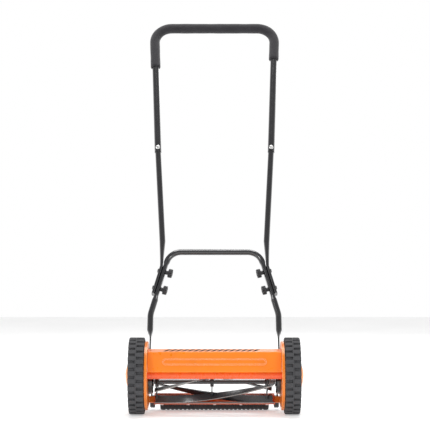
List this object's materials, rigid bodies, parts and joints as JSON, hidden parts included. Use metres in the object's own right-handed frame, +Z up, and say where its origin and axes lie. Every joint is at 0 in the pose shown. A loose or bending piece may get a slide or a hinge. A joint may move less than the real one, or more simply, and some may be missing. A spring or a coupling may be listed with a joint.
{
  "type": "reel mower",
  "caption": "Hand-pushed reel mower: two geared wheels spin a helical blade reel against a bed knife, with a rear roller, deck cover and bolted tube handle.",
  "frame": {"origin": "on the ground under the middle of the wheel axle line", "axes": "+Z up, the front of the mower faces -Y and the handle leans back to +Y, X runs across it"},
  "size_m": [0.455, 0.6712, 1.0939],
  "materials": {
    "tyre_rubber": "matt moulded rubber",
    "wheel_plastic": "moulded black plastic, fine grain",
    "orange_plastic": "glossy orange moulding",
    "orange_paint": "glossy orange powder coat",
    "black_paint": "gloss black enamel",
    "blade_paint": "black enamel with ground edges",
    "bare_steel": "turned or rolled steel",
    "zinc_steel": "bright zinc plate",
    "black_zinc": "black zinc",
    "black_plastic": "moulded black plastic",
    "gear_plastic": "moulded nylon",
    "foam": "closed-cell foam, charcoal",
    "knife_steel": "ground spring steel"
  },
  "bodies": {
    "chassis": {"side_plate_left": "orange_paint", "side_plate_right": "orange_paint", "stub_axle_left": "bare_steel", "stub_axle_right": "bare_steel", "axle_washers": "zinc_steel", "axle_nuts": "zinc_steel", "deck_cover": "orange_paint", "deck_nuts": "zinc_steel", "front_tie_bar": "orange_paint", "frame_screws": "zinc_steel", "bearing_housing_left": "black_paint", "bearing_housing_right": "black_paint", "bearing_outer_races": "bare_steel", "bed_bar": "orange_paint", "bed_knife": "knife_steel", "bed_knife_screws": "zinc_steel", "bed_bar_bolts": "orange_paint", "bed_bar_nuts": "zinc_steel", "pivot_bolts": "zinc_steel", "pivot_nuts": "zinc_steel"},
    "wheel_left": {"tyre_left": "tyre_rubber", "wheel_left": "wheel_plastic", "drive_ring_left": "gear_plastic", "hub_cap_left": "orange_plastic"},
    "wheel_right": {"tyre_right": "tyre_rubber", "wheel_right": "wheel_plastic", "drive_ring_right": "gear_plastic", "hub_cap_right": "orange_plastic"},
    "reel": {"reel_shaft": "black_paint", "reel_disc_left": "blade_paint", "reel_disc_middle": "blade_paint", "reel_disc_right": "blade_paint", "reel_blade_1": "blade_paint", "reel_blade_2": "blade_paint", "reel_blade_3": "blade_paint", "reel_blade_4": "blade_paint", "reel_blade_5": "blade_paint", "drive_pawls": "bare_steel", "reel_spring": "bare_steel", "bearing_inner_races": "bare_steel"},
    "pinion_left": {"pinion_left": "bare_steel"},
    "pinion_right": {"pinion_right": "bare_steel"},
    "carrier": {"roller_bracket_left": "black_paint", "roller_bracket_right": "black_paint", "roller_axle": "bare_steel", "height_bolts": "zinc_steel"},
    "roller": {"roller": "black_plastic"},
    "height_knob_left": {"height_knob_left": "black_plastic"},
    "height_knob_right": {"height_knob_right": "black_plastic"},
    "handle": {"lower_handle": "black_paint", "middle_tube_left": "black_paint", "middle_tube_right": "black_paint", "upper_handle": "black_paint", "foam_grip": "foam", "joint_screws": "zinc_steel", "handle_bolts": "black_paint"},
    "handle_knob_left_lower": {"handle_knob_left_lower": "black_plastic"},
    "handle_knob_left_upper": {"handle_knob_left_upper": "black_plastic"},
    "handle_knob_right_lower": {"handle_knob_right_lower": "black_plastic"},
    "handle_knob_right_upper": {"handle_knob_right_upper": "black_plastic"}
  },
  "joints": [
    {"name": "wheel_left_spin", "type": "hinge", "parent": "chassis", "child": "wheel_left", "pos_m": [-0.1975, 0, 0.0975], "axis": [1, 0, 0], "continuous": true},
    {"name": "wheel_right_spin", "type": "hinge", "parent": "chassis", "child": "wheel_right", "pos_m": [0.1975, 0, 0.0975], "axis": [1, 0, 0], "continuous": true},
    {"name": "reel_spin", "type": "hinge", "parent": "chassis", "child": "reel", "pos_m": [0, 0.0313, 0.07971], "axis": [1, 0, 0], "continuous": true},
    {"name": "pinion_left_spin", "type": "hinge", "parent": "chassis", "child": "pinion_left", "pos_m": [-0.19, 0.0313, 0.07971], "axis": [1, 0, 0], "continuous": true},
    {"name": "pinion_right_spin", "type": "hinge", "parent": "chassis", "child": "pinion_right", "pos_m": [0.19, 0.0313, 0.07971], "axis": [1, 0, 0], "continuous": true},
    {"name": "height_slide", "type": "slide", "parent": "chassis", "child": "carrier", "axis": [0, 0, 1], "range_m": [-0.012, 0.008]},
    {"name": "roller_spin", "type": "hinge", "parent": "carrier", "child": "roller", "pos_m": [0, 0.102, 0.022], "axis": [1, 0, 0], "continuous": true},
    {"name": "height_knob_left_turn", "type": "hinge", "parent": "carrier", "child": "height_knob_left", "pos_m": [-0.15, 0.102, 0.08], "axis": [1, 0, 0], "range_deg": [0, 270]},
    {"name": "height_knob_right_turn", "type": "hinge", "parent": "carrier", "child": "height_knob_right", "pos_m": [0.15, 0.102, 0.08], "axis": [1, 0, 0], "range_deg": [-270, 0]},
    {"name": "handle_pivot", "type": "hinge", "parent": "chassis", "child": "handle", "pos_m": [0, 0.04969, 0.12083], "axis": [1, 0, 0], "range_deg": [-60, 40]},
    {"name": "handle_knob_left_lower_turn", "type": "hinge", "parent": "handle", "child": "handle_knob_left_lower", "pos_m": [-0.14935, 0.15345, 0.31596], "axis": [-0.9681, 0.1175, 0.2211], "range_deg": [-270, 0]},
    {"name": "handle_knob_left_upper_turn", "type": "hinge", "parent": "handle", "child": "handle_knob_left_upper", "pos_m": [-0.13628, 0.17716, 0.36055], "axis": [-0.9681, 0.1175, 0.2211], "range_deg": [-270, 0]},
    {"name": "handle_knob_right_lower_turn", "type": "hinge", "parent": "handle", "child": "handle_knob_right_lower", "pos_m": [0.14935, 0.15345, 0.31596], "axis": [0.9681, 0.1175, 0.2211], "range_deg": [-270, 0]},
    {"name": "handle_knob_right_upper_turn", "type": "hinge", "parent": "handle", "child": "handle_knob_right_upper", "pos_m": [0.13628, 0.17716, 0.36055], "axis": [0.9681, 0.1175, 0.2211], "range_deg": [-270, 0]}
  ],
  "couplings": [
    {"joint": "reel_spin", "follows": "wheel_left_spin", "ratio": 4},
    {"joint": "pinion_left_spin", "follows": "wheel_left_spin", "ratio": 4},
    {"joint": "pinion_right_spin", "follows": "wheel_right_spin", "ratio": 4}
  ]
}
